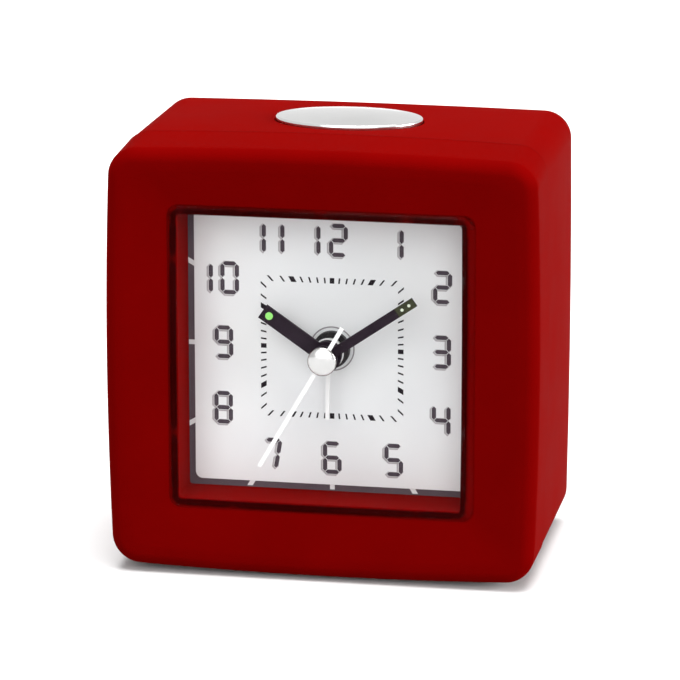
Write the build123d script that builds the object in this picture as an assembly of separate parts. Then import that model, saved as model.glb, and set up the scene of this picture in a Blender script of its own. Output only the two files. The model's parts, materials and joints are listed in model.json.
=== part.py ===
from build123d import *
import os
from math import acos, atan2, cos, pi, radians, sin, tan

os.makedirs("parts", exist_ok=True)

# All sizes are in millimetres. In this file the dial's face is at y = 0, its centre is at
# x = z = 0, and the front of the clock looks along -Y. save() moves each piece so that the
# origin is at the bottom centre of the whole clock.

# Case
case_width = 90.0
case_height = 90.4
side_bow = 1.0
corner_round = 5.6
front_depth = 13.8
rear_depth = 42.2
front_round = 3.5
front_land = 0.4
dish_depth = 1.0
frame_width = 13.3
parting = 2.0
case_drop = 0.3
skirt = 1.9
front_wall = 2.0
rear_step = 0.6
rear_bow = 0.4
rear_corner = 6.0
rear_taper = 0.3
rear_wall = 2.4
back_round = 3.0

# Window and dial
lens_thickness = 1.2
lens_proud = 0.8
lens_corner = 2.5
ledge = 1.4
dial_border = 1.3
panel_corner = 1.5
wall_corner = 0.6
panel_thickness = 0.3
plate_thickness = 1.0

# Hands: space left to the window's edge, width, clock angle in degrees and front face
hour_space = 14.3
minute_space = 7.6
second_space = 3.9
alarm_space = 16.3
hour_width = 3.3
minute_width = 2.0
second_width = 0.85
alarm_width = 0.8
second_tail = 8.2
hour_angle = 304.5
minute_angle = 55.5
second_angle = 210.0
alarm_angle = 180.8
hand_thickness = 0.5
alarm_level = 4.4
hour_level = 7.0
minute_level = 9.1
second_level = 11.0
cap_radius = 3.0
cap_height = 1.15

# Movement
movement_size = 52.0
movement_wall = 1.2
first_layer = 3.0
layer_pitch = 1.6
wheel_thickness = 0.8
pinion_extra = 0.1
pressure_angle = radians(25)
tooth_tip = 0.85
tooth_root = 1.1
tooth_play = 0.12
pivot_radius = 0.5
set_shaft_radius = 1.0

# Snooze button
button_length = 31.0
button_width = 21.0
button_y = 19.3
button_rise = 1.8
button_crown = 0.9
button_travel = 1.2

# Battery, an AA cell
battery_length = 50.5
battery_radius = 7.15
bay_play = 0.5
bay_rise = 5.35
bay_wall = 1.6
bay_front = 1.2

# Clearances
lens_gap = 0.1
running_gap = 0.08
pivot_gap = 0.05
button_gap = 0.3
door_gap = 0.3
slide_gap = 0.05
foot_gap = 0.75
tongue_gap = 0.3

# Sizes that follow from those above
half_w = case_width / 2
half_h = case_height / 2
lip = dish_depth - front_depth
lens_front = lip - lens_proud
lens_back = lens_front + lens_thickness
lip_w = half_w - frame_width
lip_h = half_h - frame_width
wall_w = lip_w - ledge
wall_h = lip_h - ledge
plate_front = panel_thickness
plate_back = plate_front + plate_thickness
back_inner = rear_depth - rear_wall
floor_level = -half_h - case_drop - foot_gap
stand = Location((0, (front_depth - rear_depth) / 2, -floor_level))


# Helpers
def depth_plane(y):
    return Plane(origin=(0, y, 0), x_dir=(1, 0, 0), z_dir=(0, -1, 0))


def slab(sketch, front, back):
    """A sketch in x and z, given depth from y = front to y = back."""
    return extrude(depth_plane(back) * sketch, amount=back - front)


def rod(centre, radius, front, back):
    return slab(Pos(*centre) * Circle(radius), front, back)


def tube(centre, outer, inner, front, back):
    return rod(centre, outer, front, back) - rod(centre, inner, front - 1, back + 1)


def block(low, high):
    middle = [(a + b) / 2 for a, b in zip(low, high)]
    return Pos(*middle) * Box(*[b - a for a, b in zip(low, high)])


def tower(x, y, radius, low, high):
    return Pos(x, y, low) * extrude(Circle(radius), amount=high - low)


def corners(x, z, drop=0.0):
    return [(sx * x, sz * z - drop) for sx in (-1, 1) for sz in (-1, 1)]


def rounded(half_x, half_z, radius):
    return RectangleRounded(2 * half_x, 2 * half_z, radius)


def bowed(half_x, half_z, bow, radius):
    """A rounded rectangle whose four sides swell outwards."""
    x = half_x - bow
    z = half_z - bow
    sides = [
        ThreePointArc((-x, z), (0, half_z), (x, z)),
        ThreePointArc((x, z), (half_x, 0), (x, -z)),
        ThreePointArc((x, -z), (0, -half_z), (-x, -z)),
        ThreePointArc((-x, -z), (-half_x, 0), (-x, z)),
    ]
    face = make_face(sides)
    return Pos(0, -case_drop) * fillet(face.vertices(), radius)


def polar(distance, clock_angle):
    turn = radians(clock_angle)
    return (distance * sin(turn), distance * cos(turn))


def wire(points, radius, bend):
    path = FilletPolyline(*points, radius=bend)
    return sweep(Plane(origin=path @ 0, z_dir=path % 0) * Circle(radius), path=path)


def save(name, *pieces):
    moved = [stand * piece for piece in pieces]
    whole = moved[0] if len(moved) == 1 else Compound(children=moved)
    export_step(whole, f"parts/{name}.step")


# Gears with involute teeth, each tooth a little thin so that meshed pairs run free
def gear(module, teeth, turn):
    pitch = module * teeth / 2
    base = pitch * cos(pressure_angle)
    root = pitch - tooth_root * module
    tip = pitch + tooth_tip * module

    def spread(radius):
        half = (pi / 2 - tooth_play) / teeth + tan(pressure_angle) - pressure_angle
        if radius <= base:
            return half
        angle = acos(base / radius)
        return half - tan(angle) + angle

    start = max(root, base)
    radii = [root, start, (start + tip) / 2, tip] if root < base else [root, (root + tip) / 2, tip]
    points = []
    for tooth in range(teeth):
        middle = turn + 2 * pi * tooth / teeth
        flank = [(radius, middle - spread(radius)) for radius in radii]
        flank += [(radius, middle + spread(radius)) for radius in reversed(radii)]
        points += [(radius * cos(angle), radius * sin(angle)) for radius, angle in flank]
    return make_face(Polyline(*points, close=True))


def mesh_turns(first, second, second_teeth):
    """Turns that put a tooth of the first gear into a gap of the second."""
    along = atan2(second[1] - first[1], second[0] - first[0])
    return along, along + pi + pi / second_teeth


def layer(number):
    return first_layer + layer_pitch * number


def wheel(centre, module, teeth, turn, number):
    front = layer(number)
    return slab(Pos(*centre) * gear(module, teeth, turn), front, front + wheel_thickness)


def pinion(centre, module, teeth, turn, number):
    front = layer(number) - pinion_extra
    back = layer(number) + wheel_thickness + pinion_extra
    return slab(Pos(*centre) * gear(module, teeth, turn), front, back)


# Front bezel: bowed outline, dished face, lens pocket and a square wall down to the dial
rear_w = half_w - rear_step
rear_h = half_h - rear_step
hollow_front = lip + front_wall
tube_w = lip_w + 1.05
tube_h = lip_h + 1.05
boss_radius = 3.4
post_x = half_w - 7.5
post_z = half_h - 7.5
ear_x = tube_w + 3.0
ear_z = tube_h + 3.0
ears = [(ear_x, 0), (-ear_x, 0), (0, ear_z), (0, -ear_z)]

bezel = slab(bowed(half_w, half_h, side_bow, corner_round), -front_depth, parting)
bezel = fillet(bezel.faces().sort_by(Axis.Y)[0].edges(), front_round)
rim = front_round + front_land
slope = 0.2
grow = (frame_width - rim) / dish_depth * slope
rim_corner = corner_round - rim + 1.0 + grow
dish = loft(
    [
        depth_plane(-front_depth - slope)
        * bowed(half_w - rim + grow, half_h - rim + grow, side_bow, rim_corner),
        depth_plane(lip) * rounded(lip_w, lip_h, lens_corner),
    ]
)
bezel -= dish
inside = bowed(half_w - skirt, half_h - skirt, side_bow, corner_round - skirt)
bezel -= slab(inside - rounded(tube_w, tube_h, 2.0), hollow_front, parting + 1)
for centre in corners(post_x, post_z, case_drop):
    bezel += rod(centre, boss_radius, hollow_front - 0.5, parting)
for centre in ears:
    bezel += rod(centre, 2.8, hollow_front - 0.5, plate_front)
bezel -= slab(rounded(tube_w + 0.3, tube_h + 0.3, 2.0), plate_front, parting + 1)
bezel -= slab(rounded(wall_w, wall_h, wall_corner), -front_depth - 1, parting + 1)
bezel -= slab(rounded(lip_w, lip_h, lens_corner), -front_depth - 1, lens_back)
for centre in corners(post_x, post_z, case_drop):
    bezel -= rod(centre, 1.1, -8.0, parting + 1)
for centre in ears:
    bezel -= rod(centre, 0.8, -7.0, parting + 1)
save("front_bezel", bezel)

# Lens, seated on the ledge inside the window
lens_outline = rounded(lip_w - lens_gap, lip_h - lens_gap, lens_corner - lens_gap)
lens = slab(lens_outline, lens_front, lens_back)
lens = chamfer(lens.faces().sort_by(Axis.Y)[0].edges(), 0.5)
save("lens", lens)

# Dial: a plate screwed to the bezel, a white card on it and a collar round the movement's bush
bush_radius = 3.2
bush_front = -1.3
dial_hole = bush_radius + running_gap
plate = rounded(tube_w, tube_h, 2.0) - Circle(dial_hole)
for x, z in ears:
    plate += Pos(x, z) * Circle(3.2)
for x, z in ears:
    plate += Pos(x * 0.93, z * 0.93) * Rectangle(6.4, 6.4)
for x, z in ears:
    plate -= Pos(x, z) * Circle(1.0)
save("dial_plate", slab(plate, plate_front, plate_back))
panel = rounded(wall_w - dial_border, wall_h - dial_border, panel_corner) - Circle(dial_hole)
save("dial_panel", slab(panel, 0, panel_thickness))
save("dial_collar", tube((0, 0), 3.85, bush_radius, bush_front, 0))
dial_screws = []
for centre in ears:
    head = rod(centre, 1.7, plate_back, plate_back + 1.0)
    dial_screws.append(head + rod(centre, 0.8, -6.0, plate_back))
save("dial_screws", *dial_screws)

# Rear case: one deep shell with its back wall
facing_back = Plane(origin=(0, parting, 0), x_dir=(-1, 0, 0), z_dir=(0, 1, 0))
depth = rear_depth - parting
outer = extrude(facing_back * bowed(rear_w, rear_h, rear_bow, rear_corner), amount=depth, taper=rear_taper)
outer = fillet(outer.faces().sort_by(Axis.Y)[-1].edges(), back_round)
core_outline = bowed(rear_w - rear_wall, rear_h - rear_wall, rear_bow, rear_corner - rear_wall)
core = extrude(facing_back * core_outline, amount=depth - rear_wall, taper=rear_taper)
case = outer - core

tongue_w = rear_w - rear_wall + 0.2
tongue_h = rear_h - rear_wall + 0.2
tongue_corner = corner_round - skirt + 0.2
tongue_outer = bowed(tongue_w, tongue_h, rear_bow, tongue_corner)
tongue_inner = bowed(tongue_w - 1.4, tongue_h - 1.4, rear_bow, tongue_corner - 1.4)
case += slab(tongue_outer - tongue_inner, parting - 2.5, parting + 2.5)
for spot in corners(post_x, post_z, case_drop):
    case -= rod(spot, boss_radius + tongue_gap, parting - 3.0, parting)

# Setting shafts, as far from the centre as the motion work and the alarm wheel need
motion_module = 0.52
hour_module = motion_module * 48 / 60
set_distance = motion_module * (12 + 36) / 2
centre = (0, 0)
time_axis = polar(set_distance, -75)
alarm_axis = polar(set_distance, 75)

# Inside features of the rear case
well_front = rear_depth - 6.4
well_radius = 7.4
bay_x = (battery_length + 5.5) / 2
bay_floor = back_inner - 2 * battery_radius - bay_play
bay_bottom = rear_wall - rear_h - case_drop + bay_rise
bay_top = bay_bottom + 2 * battery_radius + 1.1
seat = rear_h - case_drop - rear_wall - 0.85
shelf_high = seat - 4.5
shelf_low = shelf_high - 2.0
half_m = movement_size / 2
switch_z = half_m - 6.0
switch_front = back_inner - 6.0
inner = Part()
for spot in corners(post_x, post_z, case_drop):
    inner += rod(spot, 4.2, parting, back_inner + 0.5)
for spot in (time_axis, alarm_axis):
    inner += rod(spot, well_radius + 1.2, well_front - 1.2, back_inner + 0.5)
inner += block(
    (-bay_x - bay_wall, bay_floor - bay_front, bay_bottom - bay_wall),
    (bay_x + bay_wall, back_inner + 0.5, bay_top + bay_wall),
)
inner += block((-9, button_y - 7.5, shelf_low), (9, back_inner + 0.5, shelf_high))
oval = Pos(0, button_y) * Ellipse(button_length / 2 + 2.5, button_width / 2 + 2.5)
inner += Pos(0, 0, seat) * extrude(oval, amount=2.0)
case += inner & outer

screw_floor = 6.0
for spot in corners(post_x, post_z, case_drop):
    case -= rod(spot, 1.5, parting - 1, screw_floor + 1)
    case -= rod(spot, 3.0, screw_floor, rear_depth + 1)
for spot in (time_axis, alarm_axis):
    case -= rod(spot, well_radius, well_front, rear_depth + 1)
    case -= rod(spot, set_shaft_radius + 0.4, well_front - 2, rear_depth)
door_front = back_inner + 0.3
door_half = bay_x + bay_wall - 0.4
door_low = bay_bottom - bay_wall + 0.4
door_high = bay_top + bay_wall - 0.4
case -= block((-bay_x, bay_floor, bay_bottom), (bay_x, rear_depth + 1, bay_top))
case -= block(
    (-door_half - door_gap, door_front, door_low - door_gap),
    (door_half + door_gap, rear_depth + 1, door_high + door_gap),
)
case -= block((-6, rear_depth - 1.2, door_high), (6, rear_depth + 1, door_high + 2.4))
case -= slab(Pos(0, switch_z) * SlotOverall(17.0, 9.0), rear_depth - 1.0, rear_depth + 1)
case -= block((-4.2, back_inner - 0.5, switch_z - 1.8), (4.2, rear_depth + 1, switch_z + 1.8))
hole = Pos(0, button_y) * Ellipse(button_length / 2 + button_gap, button_width / 2 + button_gap)
case -= Pos(0, 0, seat - 1) * extrude(hole, amount=10)

buzzer_radius = 6.0
buzzer_z = bay_top + bay_wall + buzzer_radius + 1.4
for x in (-3.2, 0, 3.2):
    case -= slab(Pos(x, buzzer_z) * SlotOverall(7.0, 1.4, rotation=90), back_inner - 1, rear_depth + 1)
foot_top = -rear_h - case_drop + 1.0
foot_x = half_w - 11.0
feet_y = (parting + 5.0, rear_depth - 6.0)
feet = [(x, y) for x in (-foot_x, foot_x) for y in feet_y]
for x, y in feet:
    case -= tower(x, y, 3.5, floor_level - 1, foot_top)
leg_x = 2.2
lead_radius = 0.5
board_back = 18.0
lead_y = board_back + lead_radius
for x in (-leg_x, leg_x):
    case -= tower(x, lead_y, 0.4, shelf_low - 1, shelf_high + 1)
tail_y = bay_floor + battery_radius
for side in (-1, 1):
    slot = block((-0.3, tail_y - 1.6, bay_top - 1), (0.3, tail_y + 1.6, bay_top + bay_wall + 1))
    case -= Pos(side * (bay_x - 0.2), 0, 0) * slot
save("rear_case", case)

save("rubber_feet", *[tower(x, y, 3.5, floor_level, foot_top) for x, y in feet])
case_screws = []
for spot in corners(post_x, post_z, case_drop):
    head = rod(spot, 2.6, screw_floor, screw_floor + 1.8)
    cross = slab(Pos(*spot) * (Rectangle(2.8, 0.6) + Rectangle(0.6, 2.8)), screw_floor + 0.8, screw_floor + 2)
    case_screws.append(head + rod(spot, 1.1, -7.0, screw_floor) - cross)
save("case_screws", *case_screws)

door = block((-door_half, door_front, door_low), (door_half, rear_depth, door_high))
door += block((-5, door_front - 2.0, bay_top - 1.6), (5, door_front, bay_top - 0.2))
for number in range(3):
    door -= block(
        (-6, rear_depth - 0.5, door_high - 2.4 - 1.6 * number),
        (6, rear_depth + 1, door_high - 1.6 - 1.6 * number),
    )
save("battery_door", door)

# Gear train: teeth and modules, and the axes that they give
inter_module = 0.30
rotor_module = 0.25
third_module = 0.27
centre_module = third_module * 85 / 90
third_axis = polar(third_module * (10 + 75) / 2, 180)
inter_axis = polar(inter_module * (10 + 50) / 2, 0)
rotor_axis = (0, inter_axis[1] + rotor_module * (10 + 60) / 2)
alarm_layer, hour_layer, motion_layer, centre_layer, third_layer, second_layer, inter_layer = range(7)
cover_front = layer(inter_layer) + wheel_thickness + 1.0
cover_back = cover_front + 1.2
bridge_front = layer(centre_layer) + wheel_thickness + 0.3
bridge_back = bridge_front + 0.8
stator_back = bridge_back + 1.2
base_back = plate_back + 1.3
pivot_front = base_back - 0.6
pivot_back = cover_front + 0.6

# Movement housing
inner_m = half_m - movement_wall
screw_m = half_m - 3.0
base = slab(rounded(half_m, half_m, 2.0), plate_back, cover_front)
base -= slab(rounded(inner_m, inner_m, 1.0), base_back, cover_front + 1)
for spot in corners(screw_m, screw_m):
    base += rod(spot, 2.2, base_back - 0.2, cover_front)
for side in (-1, 1):
    pillar_x = side * (half_m - 2.0)
    base += block((pillar_x - 1.4, base_back - 0.2, 6.0), (pillar_x + 1.4, bridge_front, 13.0))
base += rod(centre, bush_radius, bush_front, base_back)
tube_step = 0.62
second_radius = 0.5
minute_bore = second_radius + running_gap
minute_radius = minute_bore + tube_step - 0.1
hour_bore = minute_radius + running_gap
hour_radius = hour_bore + tube_step
alarm_bore = hour_radius + running_gap
alarm_radius = alarm_bore + tube_step
base -= rod(centre, alarm_radius + running_gap, bush_front - 1, base_back + 1)
for spot in (third_axis, time_axis, alarm_axis):
    base -= rod(spot, pivot_radius + pivot_gap, pivot_front - 0.1, base_back + 1)
for spot in corners(screw_m, screw_m):
    base -= rod(spot, 0.7, cover_front - 7.0, cover_front + 1)
save("movement_base", base)

board_x = half_m - 5.0
board_front = board_back - 1.2
board_high = half_m - 1.0
board_low = board_high - 15.0
board_screws = [(side * (board_x - 3.0), board_high - 3.0) for side in (-1, 1)]
cover = slab(rounded(half_m, half_m, 2.0), cover_front, cover_back)
for spot in board_screws:
    cover += rod(spot, 2.2, cover_back - 0.2, board_front)
for spot in (centre, third_axis, inter_axis, rotor_axis):
    cover -= rod(spot, pivot_radius + pivot_gap, cover_front - 1, pivot_back + 0.1)
for spot in (time_axis, alarm_axis):
    cover -= rod(spot, set_shaft_radius + pivot_gap, cover_front - 1, cover_back + 1)
for spot in corners(screw_m, screw_m):
    cover -= rod(spot, 0.7, cover_front - 1, cover_back + 1)
for spot in board_screws:
    cover -= rod(spot, 0.8, cover_front + 0.4, board_front + 1)
save("movement_cover", cover)
movement_screws = []
for spot in corners(screw_m, screw_m):
    movement_screws.append(
        rod(spot, 1.6, cover_back, cover_back + 0.9) + rod(spot, 0.7, cover_front - 6.0, cover_back)
    )
save("movement_screws", *movement_screws)

bridge = Pos(0, 9.5) * Rectangle(2 * inner_m - 0.2, 9.0) + Pos(0, 18) * Rectangle(10, 10)
bridge = slab(bridge, bridge_front, bridge_back)
for spot in (inter_axis, rotor_axis):
    bridge -= rod(spot, pivot_radius + pivot_gap, bridge_front - 1, bridge_back + 1)
save("train_bridge", bridge)

# Step motor: stator with its core, bobbin, winding and rotor
coil_z = 20.0
core_y = layer(motion_layer) - 0.3
stator = slab(Pos(0, rotor_axis[1]) * Rectangle(33, 8.0), bridge_back, stator_back)
stator -= rod(rotor_axis, 3.2, bridge_back - 1, stator_back + 1)
for side in (-1, 1):
    stator += block((side * 15 - 1.2, core_y - 1.2, coil_z - 1.2), (side * 15 + 1.2, stator_back, coil_z + 1.2))
stator += block((-15, core_y - 1.2, coil_z - 1.2), (15, core_y + 1.2, coil_z + 1.2))
save("motor_stator", stator)


def coil_ring(radius, low, high):
    profile = Plane(origin=(low, core_y, coil_z), x_dir=(0, 1, 0), z_dir=(1, 0, 0)) * Circle(radius)
    return extrude(profile, amount=high - low)


core_hole = block((-20, core_y - 1.2, coil_z - 1.2), (20, core_y + 1.2, coil_z + 1.2))
bobbin = coil_ring(1.9, -11, 11) + coil_ring(2.7, -11, -10.2) + coil_ring(2.7, 10.2, 11) - core_hole
save("coil_bobbin", bobbin)
save("coil_winding", coil_ring(2.5, -10.2, 10.2) - coil_ring(1.9, -11, 11))

turn_a, turn_b = mesh_turns(rotor_axis, inter_axis, 60)
rotor_back = layer(inter_layer) - 0.4
rotor = pinion(rotor_axis, rotor_module, 10, turn_a, inter_layer)
rotor += rod(rotor_axis, 0.8, bridge_back + 0.2, layer(inter_layer))
rotor += rod(rotor_axis, pivot_radius, bridge_front + 0.1, pivot_back)
save("rotor_pinion", rotor)
save("rotor_magnet", tube(rotor_axis, 2.8, 0.8, bridge_back + 0.2, rotor_back))

# Going train
inter = wheel(inter_axis, rotor_module, 60, turn_b, inter_layer)
turn_a, turn_b = mesh_turns(inter_axis, centre, 50)
inter += pinion(inter_axis, inter_module, 10, turn_a, second_layer)
inter += rod(inter_axis, 0.9, layer(second_layer), layer(inter_layer) + wheel_thickness)
inter += rod(inter_axis, pivot_radius, bridge_front + 0.1, pivot_back)
save("intermediate_wheel", inter)

seconds = wheel(centre, inter_module, 50, turn_b, second_layer)
turn_a, turn_b = mesh_turns(centre, third_axis, 75)
seconds += pinion(centre, third_module, 10, turn_a, third_layer)
seconds += rod(centre, 0.9, layer(third_layer), layer(second_layer) + wheel_thickness)
seconds += rod(centre, second_radius, -second_level, pivot_back)
save("second_wheel", seconds)

third = wheel(third_axis, third_module, 75, turn_b, third_layer)
turn_a, turn_b = mesh_turns(third_axis, centre, 80)
third += pinion(third_axis, centre_module, 10, turn_a, centre_layer)
third += rod(third_axis, 0.8, layer(centre_layer), layer(third_layer) + wheel_thickness)
third += rod(third_axis, pivot_radius, pivot_front, pivot_back)
save("third_wheel", third)

minutes = wheel(centre, centre_module, 80, turn_b, centre_layer)
turn_a, turn_b = mesh_turns(centre, time_axis, 36)
minutes += wheel(centre, motion_module, 12, turn_a, motion_layer)
minutes += rod(centre, 2.0, layer(motion_layer), layer(centre_layer) + wheel_thickness)
minutes += rod(centre, minute_radius, -minute_level, layer(centre_layer) + wheel_thickness)
minutes -= rod(centre, minute_bore, -minute_level - 1, layer(centre_layer) + 2)
save("centre_wheel", minutes)

# Motion work on the time-setting shaft, and the hour wheel
knob_back = rear_depth - 0.4
shaft_back = knob_back - 1.2
setting = wheel(time_axis, motion_module, 36, turn_b, motion_layer)
turn_a, turn_b = mesh_turns(time_axis, centre, 48)
setting += pinion(time_axis, hour_module, 12, turn_a, hour_layer)
setting += rod(time_axis, 1.6, layer(hour_layer), layer(motion_layer) + wheel_thickness)
setting += rod(time_axis, pivot_radius, pivot_front, layer(hour_layer))
setting += rod(time_axis, set_shaft_radius, base_back + 0.4, shaft_back)
save("time_set_shaft", setting)

hours = wheel(centre, hour_module, 48, turn_b, hour_layer)
hours += rod(centre, hour_radius, -hour_level, layer(hour_layer) + wheel_thickness)
hours -= rod(centre, hour_bore, -hour_level - 1, layer(hour_layer) + 2)
save("hour_wheel", hours)

# Alarm wheel and its setting shaft
turn_a, turn_b = mesh_turns(alarm_axis, centre, 48)
alarm_shaft = pinion(alarm_axis, hour_module, 12, turn_a, alarm_layer)
alarm_shaft += rod(alarm_axis, pivot_radius, pivot_front, layer(alarm_layer))
alarm_shaft += rod(alarm_axis, set_shaft_radius, layer(alarm_layer), shaft_back)
save("alarm_set_shaft", alarm_shaft)
alarm = wheel(centre, hour_module, 48, turn_b, alarm_layer)
alarm += rod(centre, alarm_radius, -alarm_level, layer(alarm_layer) + wheel_thickness)
alarm -= rod(centre, alarm_bore, -alarm_level - 1, layer(alarm_layer) + 2)
save("alarm_wheel", alarm)

# Knobs on the back, pushed onto the setting shafts
knob_outline = Circle(6.6)
for number in range(24):
    knob_outline -= Pos(*polar(6.85, 15 * number)) * Circle(0.5)
for name, spot in (("time_set_knob", time_axis), ("alarm_set_knob", alarm_axis)):
    knob = slab(Pos(*spot) * knob_outline, well_front + 0.5, knob_back)
    knob -= rod(spot, 4.6, knob_back - 0.6, knob_back + 1)
    knob += slab(Pos(*spot) * Rectangle(9.4, 1.6), knob_back - 0.8, knob_back)
    knob -= rod(spot, set_shaft_radius, well_front - 1, shaft_back)
    save(name, knob)


# Hands
def hand(angle, length, tail, width, hub, bore, level):
    bar = Pos(0, (length - tail) / 2) * Rectangle(width, length + tail)
    outline = Rot(0, 0, -angle) * bar + Circle(hub) - Circle(bore)
    return slab(outline, -level, hand_thickness - level)


reach = min(wall_w, wall_h)
hour_length = reach - hour_space
minute_length = reach - minute_space
second_length = reach - second_space
alarm_length = reach - alarm_space
save("hour_hand", hand(hour_angle, hour_length, 0, hour_width, 3.2, hour_radius, hour_level))
save("minute_hand", hand(minute_angle, minute_length, 0, minute_width, 2.8, minute_radius, minute_level))
save("second_hand", hand(second_angle, second_length, second_tail, second_width, 1.8, second_radius, second_level))
save("alarm_hand", hand(alarm_angle, alarm_length, 0, alarm_width, 3.2, alarm_radius, alarm_level))
lume_depth = 0.15
save("hour_lume", rod(polar(hour_length - 1.7, hour_angle), 0.8, -hour_level - lume_depth, -hour_level))
tip = Rot(0, 0, -minute_angle) * Pos(0, minute_length - 2.2) * Rectangle(minute_width - 0.6, 4.0)
save("minute_lume", slab(tip, -minute_level - lume_depth, -minute_level))
dome_radius = (cap_radius**2 + cap_height**2) / (2 * cap_height)
dome = Pos(0, dome_radius - cap_height - second_level, 0) * Sphere(dome_radius)
save("second_cap", dome & rod(centre, cap_radius, -second_level - cap_height, -second_level))

# Snooze button: a hollow oval cap with a flange under the case's top and a stem
case_top = rear_h - case_drop - (button_y - parting) * tan(radians(rear_taper))
button_top = case_top + button_rise
crown_radius = (button_length**2 / 4 + button_crown**2) / (2 * button_crown)
roof = button_top - 2.6


def oval_block(extra, low, high):
    oval_face = Ellipse(button_length / 2 + extra, button_width / 2 + extra)
    return Pos(0, button_y, low) * extrude(oval_face, amount=high - low)


switch_top = shelf_high + 2.6
button = oval_block(0, seat - 1.0, button_top + 1)
button &= Pos(0, button_y, button_top - crown_radius) * Sphere(crown_radius)
button += oval_block(1.3, seat - 1.0, seat)
button -= oval_block(-1.5, seat - 2.0, roof)
button += tower(0, button_y, 2.5, switch_top + button_travel + 0.2, roof + 0.5)
save("snooze_button", button)

spring_wire = 0.3
spring_low = shelf_high + spring_wire
spring_high = roof - spring_wire
coil = Helix((spring_high - spring_low) / 4, spring_high - spring_low, 5.5, center=(0, button_y, spring_low))
spring = sweep(Plane(origin=coil @ 0, z_dir=coil % 0) * Circle(spring_wire), path=coil, is_frenet=True)
save("button_spring", spring)
switch = block((-3, button_y - 3, shelf_high), (3, button_y + 3, switch_top - 0.8))
switch += tower(0, button_y, 1.7, switch_top - 0.9, switch_top)
for x in (-leg_x, leg_x):
    switch += tower(x, lead_y, 0.4, shelf_low, shelf_high + 0.1)
save("snooze_switch", switch)

# Alarm switch: a body on the inside of the back wall and a slider through a slot
body = block((-7, switch_front, switch_z - 3.6), (7, back_inner, switch_z + 3.6))
body -= block((-5.4, switch_front + 1.8, switch_z - 2.5), (5.4, back_inner + 1, switch_z + 2.5))
save("alarm_switch", body)
slider_x = -2.0
slider = block(
    (slider_x - 2.6, switch_front + 1.8 + slide_gap, switch_z - 2.5 + slide_gap),
    (slider_x + 2.6, back_inner - slide_gap, switch_z + 2.5 - slide_gap),
)
slider += block((slider_x - 1.8, back_inner - 0.2, switch_z - 1.5), (slider_x + 1.8, rear_depth - 0.2, switch_z + 1.5))
save("alarm_slider", slider)

# Battery with its two contacts
battery_end = bay_x - 0.4
battery_z = bay_bottom + battery_radius
battery_plane = Plane(origin=(battery_end, tail_y, battery_z), x_dir=(0, 1, 0), z_dir=(-1, 0, 0))
battery = extrude(battery_plane * Circle(2.75), amount=3.0)
battery += extrude(battery_plane.offset(1.2) * Circle(battery_radius), amount=battery_length - 1.2)
save("battery", battery)


def contact(side):
    low = min(side * bay_x, side * (bay_x - 0.4))
    piece = block((low, tail_y - 5, battery_z - 5), (low + 0.4, tail_y + 5, battery_z + 5))
    return piece + block((low, tail_y - 1.5, battery_z), (low + 0.4, tail_y + 1.5, bay_top + 4.2))


save("battery_plate", contact(1))
coil_start = 0.4 - bay_x + 0.2
coil_height = battery_end - battery_length - 0.35 - coil_start
coil = Helix(coil_height / 3, coil_height, 3.5, center=(coil_start, tail_y, battery_z), direction=(1, 0, 0))
coil = sweep(Plane(origin=coil @ 0, z_dir=coil % 0) * Circle(0.35), path=coil, is_frenet=True)
save("battery_spring", contact(-1) + coil)

# Circuit board on the movement's cover, and what it carries
board = block((-board_x, board_front, board_low), (board_x, board_back, board_high))
for spot in board_screws:
    board -= rod(spot, 0.8, board_front - 1, board_back + 1)
save("circuit_board", board)
save(
    "board_screws",
    *[rod(s, 1.6, board_back, board_back + 1.0) + rod(s, 0.8, cover_front + 0.6, board_back) for s in board_screws],
)
chip_z = board_low + 3.0
save("control_chip", block((-11, board_back, chip_z), (-5, board_back + 1.4, chip_z + 6.0)))
crystal = Plane(origin=(6, board_back + 1.0, board_low + 5.0), x_dir=(0, 1, 0), z_dir=(1, 0, 0)) * Circle(1.0)
save("quartz_crystal", extrude(crystal, amount=6.5))
buzzer_front = back_inner - 8.0
sound_hole = rod((0, buzzer_z), 1.5, back_inner - 2, rear_depth)
save("buzzer", rod((0, buzzer_z), buzzer_radius, buzzer_front, back_inner) - sound_hole)

# Wires
tail_top = bay_top + 4.2
lead_x = board_x - 3.0
lead_z = board_low + 4.0
leads = []
for side in (-1, 1):
    x = side * (bay_x - 0.2)
    route = [
        (x, tail_y, tail_top),
        (x, tail_y, lead_z),
        (side * lead_x, tail_y, lead_z),
        (side * lead_x, board_back, lead_z),
    ]
    leads.append(wire(route, lead_radius, 2.0))
save("battery_leads", *leads)
leads = []
for side in (-1, 1):
    x = side * 2.0
    route = [
        (x, buzzer_front, buzzer_z),
        (x, board_back + 2.2, buzzer_z),
        (x, board_back + 2.2, board_low + 2.0),
        (x, board_back, board_low + 2.0),
    ]
    leads.append(wire(route, lead_radius, 1.2))
    leads.append(rod((side * 3.0, switch_z), lead_radius, board_back, switch_front))
    leads.append(tower(side * leg_x, lead_y, lead_radius, board_high - 2.0, shelf_low))
save("signal_leads", *leads)
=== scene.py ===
# %% [markdown]
# A square red alarm clock. The CAD model holds every working piece at its true size; this
# lesson dresses it: smooth skins for the case, printing on the dial, clear and plated
# finishes, and a studio with a camera at the photograph's angle. The clock's lengths typed
# below are millimetres measured from the middle of the dial's face, because that is how one
# would measure such a clock with a ruler. One function turns them into Blender's metres, and
# others read the planes and outer sizes that the CAD model already has. The studio, the bump
# of a finish and the distance for merging points are in metres.

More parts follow.
